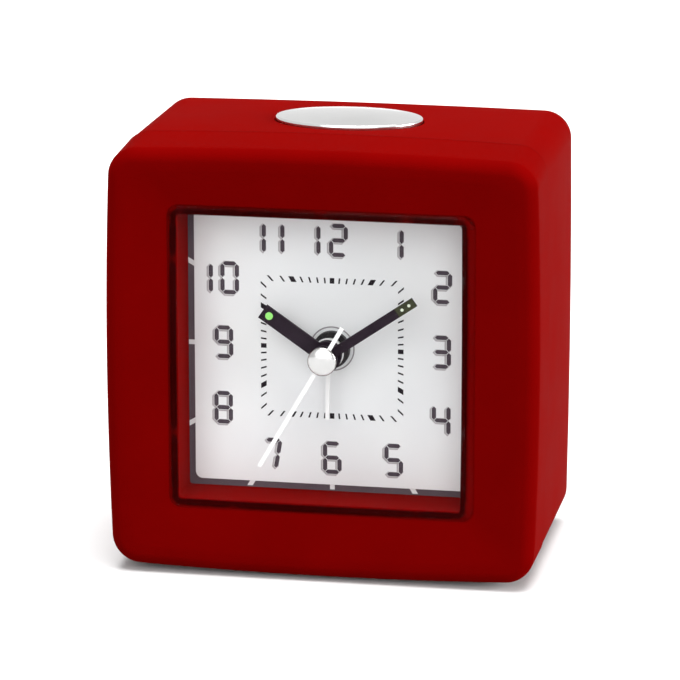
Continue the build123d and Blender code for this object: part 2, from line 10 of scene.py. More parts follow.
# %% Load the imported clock
import json
import bmesh
import bpy
import numpy as np
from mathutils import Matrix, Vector

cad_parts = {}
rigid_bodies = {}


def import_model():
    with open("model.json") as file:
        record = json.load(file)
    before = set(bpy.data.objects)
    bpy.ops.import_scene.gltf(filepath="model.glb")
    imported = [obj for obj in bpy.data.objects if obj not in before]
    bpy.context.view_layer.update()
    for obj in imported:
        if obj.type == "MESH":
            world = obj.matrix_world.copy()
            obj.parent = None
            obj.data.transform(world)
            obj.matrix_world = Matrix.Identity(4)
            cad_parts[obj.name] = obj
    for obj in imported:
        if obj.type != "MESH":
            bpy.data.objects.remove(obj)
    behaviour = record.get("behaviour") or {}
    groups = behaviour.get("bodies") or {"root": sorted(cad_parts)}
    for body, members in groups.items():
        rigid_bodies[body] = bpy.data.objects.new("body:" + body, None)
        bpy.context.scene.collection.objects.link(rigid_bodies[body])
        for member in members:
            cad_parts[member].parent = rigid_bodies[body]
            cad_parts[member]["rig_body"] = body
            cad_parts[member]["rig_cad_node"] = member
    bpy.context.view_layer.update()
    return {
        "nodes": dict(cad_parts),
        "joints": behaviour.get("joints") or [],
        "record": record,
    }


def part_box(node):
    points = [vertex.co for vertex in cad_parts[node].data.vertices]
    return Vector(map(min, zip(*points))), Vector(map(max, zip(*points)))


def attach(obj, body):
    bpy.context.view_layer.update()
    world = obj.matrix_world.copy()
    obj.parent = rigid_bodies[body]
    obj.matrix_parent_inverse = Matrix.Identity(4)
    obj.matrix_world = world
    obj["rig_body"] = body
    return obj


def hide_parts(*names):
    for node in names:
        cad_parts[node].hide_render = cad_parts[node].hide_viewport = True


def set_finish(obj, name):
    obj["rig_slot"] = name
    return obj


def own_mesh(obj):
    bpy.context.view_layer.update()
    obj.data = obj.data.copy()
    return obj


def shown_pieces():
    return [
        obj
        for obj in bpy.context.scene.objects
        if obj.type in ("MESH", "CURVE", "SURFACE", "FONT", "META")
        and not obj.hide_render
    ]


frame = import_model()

nodes = frame["nodes"]
slot_of = {part["node"]: part["material_slot"] for part in frame["record"]["subparts"]}
joint_of = {joint["name"]: joint for joint in frame["joints"]}
dial_middle = np.array(joint_of["second_turn"]["pos_m"])
print("nodes:", len(nodes), "dial middle:", dial_middle)

# %% Millimetres and metres
MILLIMETRE = 0.001


def to_metres(points):
    """Millimetres about the dial's middle become metres in the clock's own frame."""
    return np.asarray(points, float).reshape(-1, 3) * MILLIMETRE + dial_middle


def to_millimetres(box):
    """A CAD box's lowest and highest corners, in millimetres about the dial's middle."""
    return (np.array(box) - dial_middle) / MILLIMETRE


def front_of(box):
    """The y of a CAD box's front, which is negative in front of the dial's face."""
    return to_millimetres(box)[0, 1]


# %% [markdown]
# Every new piece is a grid of points. Its faces are the little squares between neighbouring
# rows and columns, and a grid that wraps both ways is a closed skin like a ring. Working on
# whole arrays keeps the code short, and the sign of the enclosed volume tells whether the
# faces point outwards, so a shape can never end up inside out.


# %% Faces of a grid
def grid_faces(rows, columns, wrap_rows=False, wrap_columns=True):
    """Corner numbers of every square between neighbouring rows and columns of a grid."""
    row = np.arange(rows if wrap_rows else rows - 1)
    column = np.arange(columns if wrap_columns else columns - 1)
    row, column = np.meshgrid(row, column, indexing="ij")
    here = row * columns
    below = (row + 1) % rows * columns
    after = (column + 1) % columns
    corner = [here + column, here + after, below + after, below + column]
    return np.stack(corner, -1).reshape(-1, 4).tolist()


def enclosed(points, faces):
    """Six times the volume: every face is fanned into triangles from its first corner."""
    total = 0.0
    for sides in sorted({len(face) for face in faces}):
        corner = points[np.array([face for face in faces if len(face) == sides])]
        for step in range(1, sides - 1):
            normal = np.cross(corner[:, step], corner[:, step + 1])
            total += np.einsum("ij,ij->", corner[:, 0], normal)
    return total


print("a ring of 3 rows and 8 columns has", len(grid_faces(3, 8, wrap_rows=True)), "faces")


# %% From arrays to pieces
def make_piece(name, points, faces, body, slot, crease=0.6):
    """A mesh piece with outward faces and smooth shading, riding on one body."""
    points = to_metres(points)
    if enclosed(points - points.mean(0), faces) < 0:
        faces = [face[::-1] for face in faces]
    mesh = bpy.data.meshes.new(name)
    mesh.from_pydata(points.tolist(), [], faces)
    mesh.polygons.foreach_set("use_smooth", np.ones(len(mesh.polygons), bool))
    mesh.set_sharp_from_angle(angle=crease)
    thing = bpy.data.objects.new(name, mesh)
    bpy.context.scene.collection.objects.link(thing)
    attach(thing, body)
    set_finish(thing, slot)
    print(f"{name}: {len(points)} points, {len(faces)} faces")
    return thing


def store(thing, label, values):
    """Keeps one number for each point of a piece, for its material to read."""
    attribute = thing.data.attributes.new(label, "FLOAT", "POINT")
    attribute.data.foreach_set("value", np.ravel(values).astype(np.float32))


# %% [markdown]
# Printing on the dial is a film of ink. Each mark is a thin prism, a flat outline given a
# few hundredths of a millimetre of height, so it shows from every side and casts no visible
# step. Many marks are made at once from one array.


# %% Flat outlines given a little height
def prisms(outlines, front, back):
    """Points and faces of many prisms: each outline (x, z) at y = front, again at y = back."""
    outlines = np.asarray(outlines, float)
    count, sides = outlines.shape[:2]
    following = np.roll(outlines, -1, axis=1)
    area = (outlines[..., 0] * following[..., 1] - outlines[..., 1] * following[..., 0]).sum(1)
    outlines = np.where((area < 0)[:, None, None], outlines[:, ::-1], outlines)
    flat = outlines.reshape(-1, 2)
    total = len(flat)
    points = np.zeros((2 * total, 3))
    points[:, 0] = np.tile(flat[:, 0], 2)
    points[:, 2] = np.tile(flat[:, 1], 2)
    points[:, 1] = np.repeat([front, back], total)
    here = np.arange(total).reshape(count, sides)
    after = np.roll(here, -1, axis=1)
    walls = np.stack([after, here, here + total, after + total], -1).reshape(-1, 4)
    faces = here.tolist() + (here[:, ::-1] + total).tolist() + walls.tolist()
    return points, faces


print("a square mark has", len(prisms([[(0, 0), (1, 0), (1, 1), (0, 1)]], -1, 0)[1]), "faces")

# %% [markdown]
# The front frame is one moulding: bowed outer sides, a rounded front edge, a shallow dish
# that falls towards the window, a pocket for the lens and a square wall down to the dial.
# It could be a box with bevels, but the dish changes from a bowed outline to a straight
# one, which bevels cannot do. So one section outline is carried along a profile: each step
# of the profile has its own inset, depth, corner radius and bow. Three masks tell which side
# of the clock a point of the outline is on.

# %% Section outline of the case
SIDE_STEPS = 24
CORNER_STEPS = 14
FRAME_CORNER = 5.6
SIDE_BOW = 1.0

bezel_low, bezel_high = to_millimetres(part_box("front_bezel"))
frame_half = (bezel_high - bezel_low)[[0, 2]] / 2 - SIDE_BOW
case_drop = -(bezel_low + bezel_high)[2] / 2
along = np.linspace(-1, 1, SIDE_STEPS, endpoint=False) + 1 / SIDE_STEPS
turn = np.linspace(0, np.pi / 2, CORNER_STEPS)
side_one = np.ones(SIDE_STEPS)
side_none = np.zeros(SIDE_STEPS)
corner_one = np.ones(CORNER_STEPS)
right = [side_one, side_one, along, side_none]
upper_right = [corner_one, np.cos(turn), corner_one, np.sin(turn)]
quarter = np.array([np.concatenate(pair) for pair in zip(right, upper_right)])
sideways, upwards = quarter[:2], quarter[2:]
outline_x = np.concatenate([sideways, -upwards, -sideways, upwards], 1)
outline_z = np.concatenate([upwards, sideways, -upwards, -sideways], 1)


def case_sections(steps, half=frame_half, sag=0.0):
    """A rounded rectangle for each step (inset, y, radius, bow, drop), drawn in from a half size.

    x and z are the straight part of a side plus the radius times a corner's cosine or sine;
    each side then swells by bow times one minus the square of the place along it. The upper
    half sinks by each step's sag, in proportion to its height.
    """
    inset, depth, radius, bow, drop = [np.asarray(column, float)[:, None] for column in zip(*steps)]
    half_x = half[0] - inset
    half_z = half[1] - inset
    x = outline_x[0] * (half_x - radius) + outline_x[1] * radius
    z = outline_z[0] * (half_z - radius) + outline_z[1] * radius
    swollen_x = x * (1 + bow / half_x * (1 - (z / half_z) ** 2))
    swollen_z = z * (1 + bow / half_z * (1 - (x / half_x) ** 2))
    sunk = swollen_z - drop - np.reshape(sag, (-1, 1)) * np.clip(z / half_z, 0, 1)
    return np.stack([swollen_x, np.broadcast_to(depth, x.shape), sunk], -1)


at_left_or_foot = np.clip(-outline_x[1], 0, 1) ** 2 + np.clip(-outline_z[1], 0, 1) ** 2
at_top = np.clip(outline_z[1], 0, 1) ** 2
at_right = np.clip(outline_x[1], 0, 1) ** 2
print("points round the case:", outline_x.shape[1])

# %% The frame's profile from the seam to the front edge
SKIRT = 1.9
SKIRT_GAP = 0.02
SEAM_ROUND = 0.5
SEAM_STEPS = 6
SIDE_ROWS = (1.1, 0.3, -4.0, -9.6)
EDGE_ROUND = 2.6
EDGE_STEPS = 15

face_y = bezel_low[1]
parting = bezel_high[1]
outside = (FRAME_CORNER, SIDE_BOW, case_drop)
inside = (FRAME_CORNER - SKIRT, SIDE_BOW, case_drop)
steps = [(SKIRT, parting - SKIRT_GAP, *inside)]
for angle in np.linspace(np.pi / 2, 0, SEAM_STEPS):
    inset = SEAM_ROUND * (1 - np.cos(angle))
    depth = parting - SEAM_ROUND * (1 - np.sin(angle))
    steps.append((inset, depth, *outside))
seam_rows = len(steps)
steps += [(0.0, depth, *outside) for depth in SIDE_ROWS]
for angle in np.linspace(0, np.pi / 2, EDGE_STEPS):
    inset = EDGE_ROUND * (1 - np.cos(angle))
    depth = face_y + EDGE_ROUND * (1 - np.sin(angle))
    steps.append((inset, depth, FRAME_CORNER - inset, SIDE_BOW, case_drop))
edge_rows = len(steps)
print("steps from the seam to the front edge:", edge_rows)

# %% The frame's profile from the dish to the dial
DISH_START = 3.9
DISH_CORNER = 4.4
DISH_SHARES = (0.02, 0.95)
DISH_STEPS = 18
LIP_Y = -12.8
LIP_RISE = 0.04
LIP_INSET = 12.3
LIP_CORNER = 2.5
LIP_ROUND = 0.3
LIP_FIRST_ANGLE = 0.2
LIP_STEPS = 6
WALL_INSET = 13.7
WALL_DRAFT = 0.55
WALL_CORNER = 0.6
WALL_BEVEL = 0.1
WALL_PLAY = 0.05
TUBE_INSET = 11.25
TUBE_CORNER = 2.0
HOLLOW_Y = -10.8

for share in np.linspace(*DISH_SHARES, DISH_STEPS):
    inset = DISH_START + share * (LIP_INSET - DISH_START)
    depth = face_y + share * (LIP_Y - face_y)
    radius = DISH_CORNER + share * (LIP_CORNER - DISH_CORNER)
    steps.append((inset, depth, radius, SIDE_BOW * (1 - share), case_drop * (1 - share)))
lip_start = len(steps)
for angle in np.linspace(LIP_FIRST_ANGLE, np.pi / 2, LIP_STEPS):
    inset = LIP_INSET - LIP_ROUND * (1 - np.sin(angle))
    depth = LIP_Y - LIP_RISE + LIP_ROUND * (1 - np.cos(angle))
    steps.append((inset, depth, LIP_CORNER, 0, 0))
lip_end = len(steps)
wall_front = WALL_INSET + WALL_DRAFT
lens_back = to_millimetres(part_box("lens"))[1, 1]
border_y = front_of(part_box("dial_plate"))
steps += [
    (LIP_INSET, lens_back, LIP_CORNER, 0, 0),
    (wall_front - WALL_BEVEL, lens_back, WALL_CORNER, 0, 0),
    (wall_front, lens_back + WALL_BEVEL, WALL_CORNER, 0, 0),
    (WALL_INSET - WALL_PLAY, border_y, WALL_CORNER, 0, WALL_PLAY),
    (TUBE_INSET, border_y, TUBE_CORNER, 0, 0),
    (TUBE_INSET, HOLLOW_Y, TUBE_CORNER, 0, 0),
    (SKIRT, HOLLOW_Y, *inside),
]
print("steps of the whole profile:", len(steps))

# %% [markdown]
# The frame's top sinks a little towards the front and is level again at the window, so each
# step of the profile has its share of that sag. The seam and the groove round the lens are
# narrow, and their shade is painted into the colour: a painted shade in the seam, and in the
# lip's groove a painted shade that is darkest on the left and below and faintest on the
# right. How much is stored point by point on the mesh, where the frame's material can read
# it, so it stays in its place in every view.

# %% The front frame
TOP_SAG = 1.0
SAG_AT_LIP = 0.05
SEAM_SHADE = 0.5
LEFT_AND_FOOT_SHADE = 0.7
TOP_SHADE = 0.3
RIGHT_SHADE = 0.1
LIP_FIRST_SHADE = 0.2
POCKET_SHADE = 0.4

frontness = np.array([(parting - step[1]) / (parting - face_y) for step in steps])
frontness[:seam_rows] = 0
frontness[edge_rows:lip_start] = np.linspace(1, SAG_AT_LIP, lip_start - edge_rows)
frontness[lip_start:] = 0
sections = case_sections(steps, sag=TOP_SAG * frontness)
faces = grid_faces(len(steps), sections.shape[1], wrap_rows=True)
frame_skin = make_piece("front_frame", sections, faces, "case", "red_shell")
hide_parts("front_bezel")
# painted shade in the lip's groove: darkest on the left and below, fainter on top, least on the right
lip_shade = LEFT_AND_FOOT_SHADE * at_left_or_foot + TOP_SHADE * at_top + RIGHT_SHADE * at_right
deepening = np.linspace(LIP_FIRST_SHADE, 1, lip_end - lip_start)[:, None]
shade = np.zeros(sections.shape[:2])
# painted shade in the seam, in the lip's groove and on the ledge under the lens
shade[1:seam_rows] = SEAM_SHADE
shade[lip_start:lip_end] = deepening * lip_shade
shade[lip_end] = POCKET_SHADE * lip_shade
store(frame_skin, "shade", shade)

# %% [markdown]
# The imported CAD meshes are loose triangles, so their curves would look faceted. A copy
# whose doubled points are merged can be shaded smoothly. That suits pieces whose CAD shape
# is already right, such as the deep rear case with its wells, slots and posts.

# %% Smooth copies of CAD pieces
MERGE_DISTANCE = 1e-6
ROUND_NODES = [
    "rear_case", "time_set_knob", "alarm_set_knob", "rubber_feet", "case_screws", "dial_collar",
    "button_spring",
]


def smooth_copy(node, crease=0.5):
    """The node's own shape with its doubled points merged, shaded smooth below the crease angle."""
    mesh = nodes[node].data.copy()
    builder = bmesh.new()
    builder.from_mesh(mesh)
    bmesh.ops.remove_doubles(builder, verts=builder.verts, dist=MERGE_DISTANCE)
    builder.to_mesh(mesh)
    builder.free()
    if "custom_normal" in mesh.attributes:
        mesh.attributes.remove(mesh.attributes["custom_normal"])
    mesh.polygons.foreach_set("use_smooth", np.ones(len(mesh.polygons), bool))
    mesh.set_sharp_from_angle(angle=crease)
    mesh.materials.clear()
    copy = bpy.data.objects.new(node + "_skin", mesh)
    bpy.context.scene.collection.objects.link(copy)
    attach(copy, nodes[node]["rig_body"])
    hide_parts(node)
    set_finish(copy, slot_of[node])
    print(f"{copy.name}: {len(mesh.vertices)} points")
    return copy


skins = {node: smooth_copy(node) for node in ROUND_NODES}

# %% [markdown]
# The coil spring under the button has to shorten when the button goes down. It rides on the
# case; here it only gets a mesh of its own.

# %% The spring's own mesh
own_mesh(skins["button_spring"])

# %% [markdown]
# The snooze button is a plated oval cap with a gently crowned top and a small rounded edge,
# standing in a hole in the case's top. A profile from the hollow underside over the flange
# and the wall to the middle of the top is carried round an ellipse. The crown is a shallow
# bowl turned over: it rises by one minus the square of the distance from the middle.

# %% The oval button's rings
FLANGE = 1.3
FLANGE_HEIGHT = 1.0
FLANGE_GAP = 0.02
BUTTON_WALL = 1.5
BUTTON_ROOF = 2.6
BUTTON_CROWN = 0.9
BUTTON_EDGE = 0.45
EDGE_ROOM = 1.2
BUTTON_SIDES = 96
CROWN_STEPS = 24
ROLL_STEPS = 7

button_low, button_high = to_millimetres(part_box("snooze_button"))
button_half = (button_high - button_low)[:2] / 2 - FLANGE
button_y = (button_low[1] + button_high[1]) / 2
button_top = button_high[2]
button_foot = button_low[2] + FLANGE_HEIGHT
flange_foot = button_foot - FLANGE_HEIGHT
roof = button_top - BUTTON_ROOF
rim_top = button_top - BUTTON_CROWN
around = np.linspace(0, 2 * np.pi, BUTTON_SIDES, endpoint=False)
roll = np.linspace(0, np.pi / 2, ROLL_STEPS)[:, None]
spread = 1 - np.linspace(0, 1, CROWN_STEPS, endpoint=False)[:, None]


def button_ring(inset, height, spread=1.0):
    """An ellipse drawn in by inset, at a height; spread shrinks it towards its middle."""
    x = (button_half[0] - inset) * spread * np.cos(around)
    y = button_y + (button_half[1] - inset) * spread * np.sin(around)
    return np.stack(np.broadcast_arrays(x, y, height), -1)


button_rings = np.concatenate([
    button_ring(BUTTON_WALL, np.array([[roof], [flange_foot]])),
    button_ring(-FLANGE, np.array([[flange_foot], [button_foot - FLANGE_GAP]])),
    button_ring(0.0, np.array([[button_foot], [rim_top - EDGE_ROOM]])),
    button_ring(BUTTON_EDGE * (1 - np.cos(roll)), rim_top - BUTTON_EDGE * (1 - np.sin(roll))),
    button_ring(BUTTON_EDGE, rim_top + BUTTON_CROWN * (1 - spread**2), spread),
])
print("button half sizes:", button_half.round(2), "top at", button_top.round(2))


# %% The oval button
def capped(rings, low, high):
    """Points and faces of a stack of rings, closed at each end by a fan to one point."""
    count, sides = rings.shape[:2]
    here = np.arange(sides)
    after = np.roll(here, -1)
    last = (count - 1) * sides
    low_fan = np.stack([after, here, np.full(sides, count * sides)], -1)
    high_fan = np.stack([last + here, last + after, np.full(sides, count * sides + 1)], -1)
    points = np.concatenate([rings.reshape(-1, 3), [low, high]])
    return points, grid_faces(count, sides) + low_fan.tolist() + high_fan.tolist()


points, faces = capped(button_rings, (0, button_y, roof), (0, button_y, button_top))
button = make_piece("snooze_cap", points, faces, "button", "silver_button", crease=0.7)
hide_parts("snooze_button")

# %% [markdown]
# A polished cap covers the middle of the second hand. It is a surface of revolution: a
# shallow dome with a tiny straight rim, turned round the hands' axis.

# %% The second hand's cap
CAP_RIM = 0.15
CAP_ROUNDNESS = 0.94
CAP_SIDES = 64
CAP_STEPS = 16

cap_low, cap_high = to_millimetres(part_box("second_cap"))
cap_radius = cap_high[0]
cap_foot = cap_high[1]
cap_height = cap_foot - cap_low[1]


def dome(spread):
    """How far forward the dome is at spread times its radius.

    The square root of one minus a share of spread squared, less its value at the rim, times
    the dome's height.
    """
    bulge = np.sqrt(1 - CAP_ROUNDNESS * spread**2) - np.sqrt(1 - CAP_ROUNDNESS)
    return cap_foot - CAP_RIM - (cap_height - CAP_RIM) * bulge


spread = np.linspace(1, 0, CAP_STEPS, endpoint=False)[:, None]
lift = np.concatenate([[[cap_foot]], dome(spread)])
reach = np.concatenate([[[1.0]], spread]) * cap_radius
turned = np.linspace(0, 2 * np.pi, CAP_SIDES, endpoint=False)
rings = np.stack(np.broadcast_arrays(reach * np.cos(turned), lift, reach * np.sin(turned)), -1)
points, faces = capped(rings, (0, cap_foot, 0), (0, dome(0.0), 0))
cap = make_piece("second_dome", points, faces, "second", "silver_button", crease=0.9)
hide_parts("second_cap")

# %% [markdown]
# The dial's printing: a square minute track, twelve white hour marks on the grey border,
# and numbers made of seven strokes. Every mark points at the middle, but it starts and ends
# on a square, so its ends are cut parallel to the square's sides.

# %% Minute track and hour marks
INK = 0.04
SUNK = 0.1
TRACK = (13.8, 14.97)
TICK_WIDE = 0.95
TICK_THIN = 0.32
HOUR_MARK = (28.9, 30.3)
HOUR_MARK_WIDTH = 1.0


def square_marks(angles, inner, outer, widths):
    """Four corners of each mark: a ray at a clock angle, cut off by two squares.

    The squares' half sizes are inner and outer. The corners lie half a width to each side of
    the ray, along the side of the square that it crosses.
    """
    angles = np.radians(angles)
    ray = np.stack([np.sin(angles), np.cos(angles)], -1)
    longest = np.abs(ray).max(1, keepdims=True)
    upright = np.abs(ray[:, 1:]) >= np.abs(ray[:, :1])
    half_width = np.asarray(widths, float)[:, None] / 2 / longest
    aside = np.where(upright, [[1.0, 0.0]], [[0.0, 1.0]]) * half_width
    near = ray * inner / longest
    far = ray * outer / longest
    return np.stack([near - aside, far - aside, far + aside, near + aside], 1)


panel_y = front_of(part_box("dial_panel"))
minutes = np.linspace(0, 360, 60, endpoint=False)
tick_widths = np.where(np.arange(60) % 5 == 0, TICK_WIDE, TICK_THIN)
ticks = square_marks(minutes, *TRACK, tick_widths)
make_piece("minute_track", *prisms(ticks, panel_y - INK, panel_y + SUNK), "case", "black_plastic")
hours = np.linspace(0, 360, 12, endpoint=False)
marks = square_marks(hours, *HOUR_MARK, np.full(12, HOUR_MARK_WIDTH))
make_piece("hour_marks", *prisms(marks, border_y - INK, border_y + SUNK), "case", "dial_white")

# %% [markdown]
# The numbers are built like those of a pocket calculator: up to seven strokes, each a
# stretched hexagon. A pale grey copy, a little larger and shifted, makes the soft edge that
# the printed numbers have, and a white copy between the two leaves a thin light gap. Each
# stroke has a column, a level and a mark that tells whether it stands. Each digit has its
# strokes, and a last list says which digits stand where on the dial.

# %% Strokes and places of the numbers
NUMBER_WIDTH = 3.95
NUMBER_HEIGHT = 7.0
STROKE = 0.9
STROKE_GAP = 0.2
LEAN = {"7": 0.16}
STROKES = {
    "a": (0, 2, 0), "b": (1, 1, 1), "c": (1, -1, 1), "d": (0, -2, 0),
    "e": (-1, -1, 1), "f": (-1, 1, 1), "g": (0, 0, 0),
}
LIT = {
    "0": "abcdef", "1": "bc", "2": "abged", "3": "abgcd", "4": "fgbc",
    "5": "afgcd", "6": "afgecd", "7": "abc", "8": "abcdefg", "9": "abcdfg",
}
NUMBERS = [
    ("1", -4.36, 22.85), ("2", 1.35, 22.95), ("1", 12.97, 22.7), ("2", 23.05, 14.0), ("3", 22.9, 0.35),
    ("4", 22.9, -14.2), ("5", 13.0, -23.2), ("6", 0.05, -23.35), ("7", -12.95, -23.2),
    ("8", -22.95, -13.65), ("9", -22.8, 0.4), ("1", -27.0, 13.9), ("0", -21.5, 14.1),
    ("1", -15.8, 22.85), ("1", -11.9, 22.85),
]
print("strokes on the dial:", sum(len(LIT[digit]) for digit, x, z in NUMBERS))

# %% Numbers of seven strokes
SHADE_GROW = 0.24
SHADE_SHIFT = (-0.22, -0.16)
GAP_GROW = 0.07
NUMBER_FILMS = [
    ("number_shade", SHADE_GROW, SHADE_SHIFT, INK, "dial_grey"),
    ("number_gap", GAP_GROW, (0, 0), 1.5 * INK, "dial_white"),
    ("number_ink", 0.0, (0, 0), 2 * INK, "dial_grey"),
]


def stroke_outlines(grow):
    """A hexagon for every lit stroke: half length, half width, both grown.

    Standing strokes swap x and z, and a leaning number's x grows with its height.
    """
    rows = [(x, z, LEAN.get(digit, 0), *STROKES[key]) for digit, x, z in NUMBERS for key in LIT[digit]]
    x, z, lean, column, level, standing = np.array(rows, float).T[:, :, None]
    half_x = (NUMBER_WIDTH - STROKE) / 2
    half_z = (NUMBER_HEIGHT - STROKE) / 2
    half_length = np.where(standing > 0, half_z / 2, half_x) - STROKE_GAP / 2 + grow
    half_width = np.full_like(half_length, STROKE / 2 + grow)
    long_way = half_length * [1, 0, 0, -1, 0, 0] + (half_length - half_width) * [0, 1, -1, 0, -1, 1]
    short_way = half_width * [0, 1, 1, 0, -1, -1]
    stroke_x = np.where(standing > 0, short_way, long_way) + x + column * half_x
    stroke_z = np.where(standing > 0, long_way, short_way) + z + level * half_z / 2
    return np.stack([stroke_x + lean * (stroke_z - z), stroke_z], -1)


for name, grow, shift, height, slot in NUMBER_FILMS:
    outlines = stroke_outlines(grow) + np.array(shift)
    make_piece(name, *prisms(outlines, panel_y - height, panel_y + SUNK), "case", slot)

# %% [markdown]
# Each hand is pressed onto its tube by a dark boss, and the bosses fill the space between
# the hands like a stepped post. A boss is a surface of revolution whose profile is a closed
# loop, so nothing is left open. Its two depths are measured from the front of its hand. The
# collar's dark face and the thin grey circle printed round it are turned in the same way.

# %% Bosses under the hands
BOSS_EDGE = 0.15
BOSSES = {
    "alarm": (2.95, 1.95, -0.35, 0.05),
    "hour": (2.75, 1.85, 0.48, 1.95),
    "minute": (2.45, 1.15, 0.48, 1.8),
    "second": (1.6, 0.55, 0.48, 1.6),
}


def turned_ring(profile, sides=72):
    """A closed loop of (radius, y) pairs turned once round the hands' axis."""
    radius, depth = np.array(profile, float).T[:, :, None]
    angle = np.linspace(0, 2 * np.pi, sides, endpoint=False)
    rings = np.broadcast_arrays(radius * np.cos(angle), depth, radius * np.sin(angle))
    return np.stack(rings, -1), grid_faces(len(profile), sides, wrap_rows=True)


for body, (outer, inner, start, end) in BOSSES.items():
    front, back = front_of(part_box(body + "_hand")) + np.array([start, end])
    bevel = [(outer - BOSS_EDGE, front), (outer, front + BOSS_EDGE)]
    profile = [(inner, front), *bevel, (outer, back), (inner, back)]
    make_piece(body + "_boss", *turned_ring(profile), body, "hand_black")

# %% The collar's face and the printed circle
COLLAR_FILM = 0.12
COLLAR_RADIUS = 3.84
COLLAR_BEVEL = 0.09
COLLAR_BORE = 2.62
CIRCLE_RADIUS = 4.6
CIRCLE_WIDTH = 0.28
CIRCLE_SIDES = 96

collar_y = front_of(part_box("dial_collar"))
front = collar_y - COLLAR_FILM
bevel = [(COLLAR_RADIUS - COLLAR_BEVEL, front), (COLLAR_RADIUS, collar_y)]
profile = [(COLLAR_BORE, front), *bevel, (COLLAR_BORE, collar_y)]
make_piece("collar_face", *turned_ring(profile), "case", "black_plastic")
inner = CIRCLE_RADIUS - CIRCLE_WIDTH / 2
outer = CIRCLE_RADIUS + CIRCLE_WIDTH / 2
front, back = panel_y - INK, panel_y + SUNK
profile = [(inner, front), (outer, front), (outer, back), (inner, back)]
make_piece("dial_circle", *turned_ring(profile, CIRCLE_SIDES), "case", "dial_grey")

# %% [markdown]
# The minute hand ends in an olive luminous tip with two pale dots. Both are thin layers of
# paint: an outline drawn along the hand, turned to the hand's clock angle and given height.

# %% The minute hand's tip
MINUTE_ANGLE = np.radians(55.5)
MINUTE_LENGTH = 22.7
TIP_LENGTH = 4.3
TIP_HALF = 0.96
TIP_CUT = 0.15
TIP_FILM = 0.13
TIP_ROOT = 0.01
DOT_RADIUS = 0.33
DOT_PLACES = (1.3, 3.0)
DOT_ROOT = 0.05
DOT_SIDES = 24


def along_hand(outlines, clock_angle):
    """Outlines given as (across, along) a hand that points up, turned clockwise by its angle."""
    outlines = np.asarray(outlines, float)
    across, length = outlines[..., 0], outlines[..., 1]
    x = across * np.cos(clock_angle) + length * np.sin(clock_angle)
    return np.stack([x, length * np.cos(clock_angle) - across * np.sin(clock_angle)], -1)


minute_y = front_of(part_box("minute_hand"))
base = MINUTE_LENGTH - TIP_LENGTH
shoulder = MINUTE_LENGTH - TIP_CUT
tip_half = [(TIP_HALF, base), (TIP_HALF, shoulder), (TIP_HALF - TIP_CUT, MINUTE_LENGTH)]
tip_outline = tip_half + [(-across, length) for across, length in tip_half[::-1]]
tip_front = minute_y - TIP_FILM
tip_film = prisms(along_hand([tip_outline], MINUTE_ANGLE), tip_front, minute_y + TIP_ROOT)
tip_paint = make_piece("minute_tip", *tip_film, "minute", "lume_olive")
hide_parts("minute_lume")
around_dot = np.linspace(0, 2 * np.pi, DOT_SIDES, endpoint=False)
dot = DOT_RADIUS * np.stack([np.cos(around_dot), np.sin(around_dot)], -1)
dots = [dot + [0, MINUTE_LENGTH - place] for place in DOT_PLACES]
dot_films = prisms(along_hand(dots, MINUTE_ANGLE), tip_front - INK, tip_front + DOT_ROOT)
make_piece("minute_dots", *dot_films, "minute", "lume_green")

# %% [markdown]
# Round the window runs a dark band: a thin dark sheet of painted shade at the rim of the
# clear lens. It is a thin ring just in front of the ledge that the lens lies on, a little off
# centre as on the real clock, and it bulges forwards by one minus the square of the distance
# from the middle of a side.

# %% The window's dark rim
BAND_OUTER = (31.0, 31.55)
BAND_MIDDLE = (-0.45, -0.15)
BAND_WIDTH = 1.65
BAND_BOW = 0.15
BAND_CORNER = 2.2
BAND_GAP = 0.02
BAND_BULGE = 0.15
BAND_THICKNESS = 0.05
BAND_ROWS = 15

band_y = lens_back - BAND_GAP
across = np.linspace(0, 1, BAND_ROWS)[:, None]
band_steps = [
    (BAND_WIDTH * share, band_y, BAND_CORNER + share * (WALL_CORNER - BAND_CORNER), BAND_BOW, 0)
    for share in across[:, 0]
]
front_sheet = case_sections(band_steps, BAND_OUTER)
beside = np.abs(front_sheet[..., [0, 2]]).min(-1) / BAND_OUTER[0]
front_sheet[..., 1] -= BAND_BULGE * (1 - beside**2)
front_sheet += np.array([BAND_MIDDLE[0], 0, BAND_MIDDLE[1]])
back_sheet = front_sheet[::-1] + np.array([0, BAND_THICKNESS, 0])
sheets = np.concatenate([front_sheet, back_sheet])
faces = grid_faces(len(sheets), sheets.shape[1], wrap_rows=True)
# a dark sheet of painted shade round the window
band = make_piece("window_rim", sheets, faces, "case", "red_shell")

# %% [markdown]
# How dark the rim's painted shade is, point by point, is stored on the mesh as well: soft at
# both edges, darkest on the left and below, fainter along the top, a thin line along the inner
# edge on the right, and lighter at each of the twelve hours. Those lighter breaks are painted
# reflections of the white hour marks, bell curves of the distance from an hour.

# %% How dark the rim's painted shade is
OUTER_FADE = 0.4
INNER_FADE = 0.25
UPPER_SHARE = 0.55
RIGHT_LINE_START = 0.15
RIGHT_LINE_FADE = 0.4
RIGHT_LINE_LEAST = 0.1
RIGHT_LINE_END = 0.05
HOUR_TURN = np.pi / 6
BREAK_MIDDLE = (1.5, 2.3)
BREAK_HALF = 0.7
BREAK_DEPTH = 0.85
RIGHT_BREAK_LOSS = 0.8

